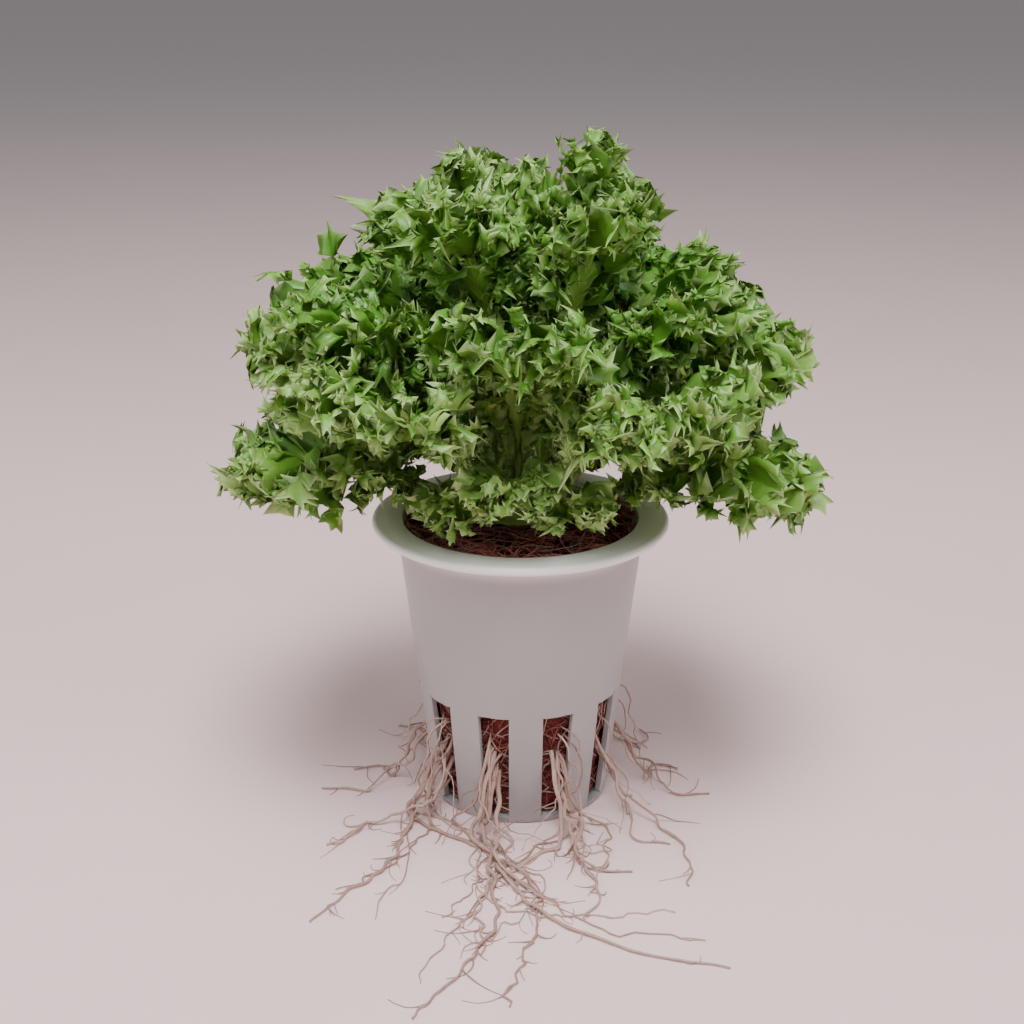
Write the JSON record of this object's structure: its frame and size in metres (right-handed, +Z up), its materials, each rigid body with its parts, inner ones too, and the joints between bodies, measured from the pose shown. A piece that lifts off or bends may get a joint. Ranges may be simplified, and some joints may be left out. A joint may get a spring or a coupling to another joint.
{
  "type": "curly endive plant in a net cup",
  "caption": "Dense frilled head of curly endive growing on a coir plug in a white slotted net cup, with fine roots spread from the slots over the surface it stands on.",
  "frame": {"origin": "centre of the underside of the cup, on the surface that the cup stands on", "axes": "+Z up along the cup's axis, -Y towards the front, where the longest roots lie, +X to the right"},
  "size_m": [0.1186, 0.1454, 0.1369],
  "materials": {
    "cup": "smooth white moulded plastic, slightly translucent",
    "coir": "loose dark red-brown coconut fibre",
    "crown": "smooth pale green stem",
    "leaf": "fresh green leaf with a soft sheen and paler veins and edges",
    "root": "pale beige root, slightly pink, fine and fibrous"
  },
  "bodies": {
    "root": {"net_cup": "cup", "coir_plug": "coir", "crown": "crown", "short_leaf_1": "leaf", "short_leaf_2": "leaf", "front_leaf_1": "leaf", "outer_leaf_1": "leaf", "outer_leaf_2": "leaf", "outer_leaf_3": "leaf", "outer_leaf_4": "leaf", "outer_leaf_5": "leaf", "lower_leaf_1": "leaf", "lower_leaf_2": "leaf", "lower_leaf_3": "leaf", "lower_leaf_4": "leaf", "lower_leaf_5": "leaf", "lower_leaf_6": "leaf", "middle_leaf_1": "leaf", "middle_leaf_2": "leaf", "middle_leaf_3": "leaf", "middle_leaf_4": "leaf", "middle_leaf_5": "leaf", "middle_leaf_6": "leaf", "upper_leaf_1": "leaf", "upper_leaf_2": "leaf", "upper_leaf_3": "leaf", "upper_leaf_4": "leaf", "upper_leaf_5": "leaf", "heart_leaf_1": "leaf", "heart_leaf_2": "leaf", "heart_leaf_3": "leaf", "roots_slot_1": "root", "roots_slot_2": "root", "roots_slot_3": "root", "roots_slot_4": "root", "roots_slot_5": "root", "roots_slot_6": "root", "roots_slot_7": "root", "roots_slot_8": "root", "roots_slot_9": "root", "roots_slot_10": "root"}
  },
  "joints": []
}
